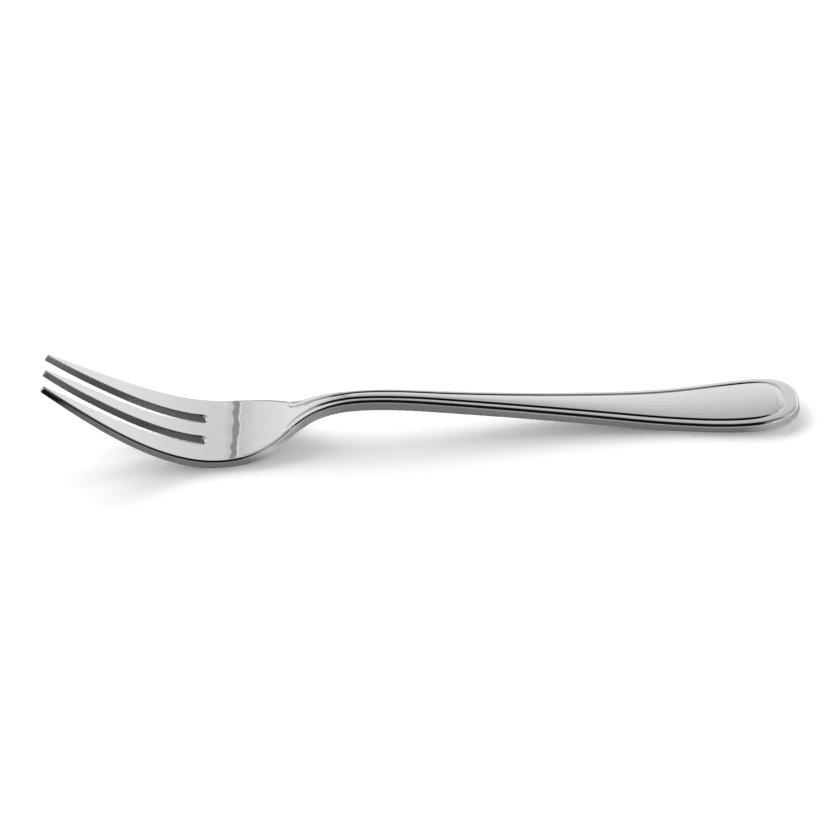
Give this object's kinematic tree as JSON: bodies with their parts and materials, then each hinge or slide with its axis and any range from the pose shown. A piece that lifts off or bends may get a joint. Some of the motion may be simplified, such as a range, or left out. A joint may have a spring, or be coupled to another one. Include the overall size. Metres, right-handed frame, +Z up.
{
  "type": "serving fork",
  "caption": "Polished stainless steel serving fork with a wide slotted head, upswept tines, slim neck and a spatulate handle with a threaded border.",
  "frame": {"origin": "on the table under the middle of the fork's length, on its middle plane", "axes": "+X along the fork towards the end of the handle, +Z up from the table, so the tines point along -X"},
  "size_m": [0.21, 0.0342, 0.0244],
  "materials": {
    "polished_steel": "polished"
  },
  "bodies": {
    "root": {"fork": "polished_steel"}
  },
  "joints": []
}
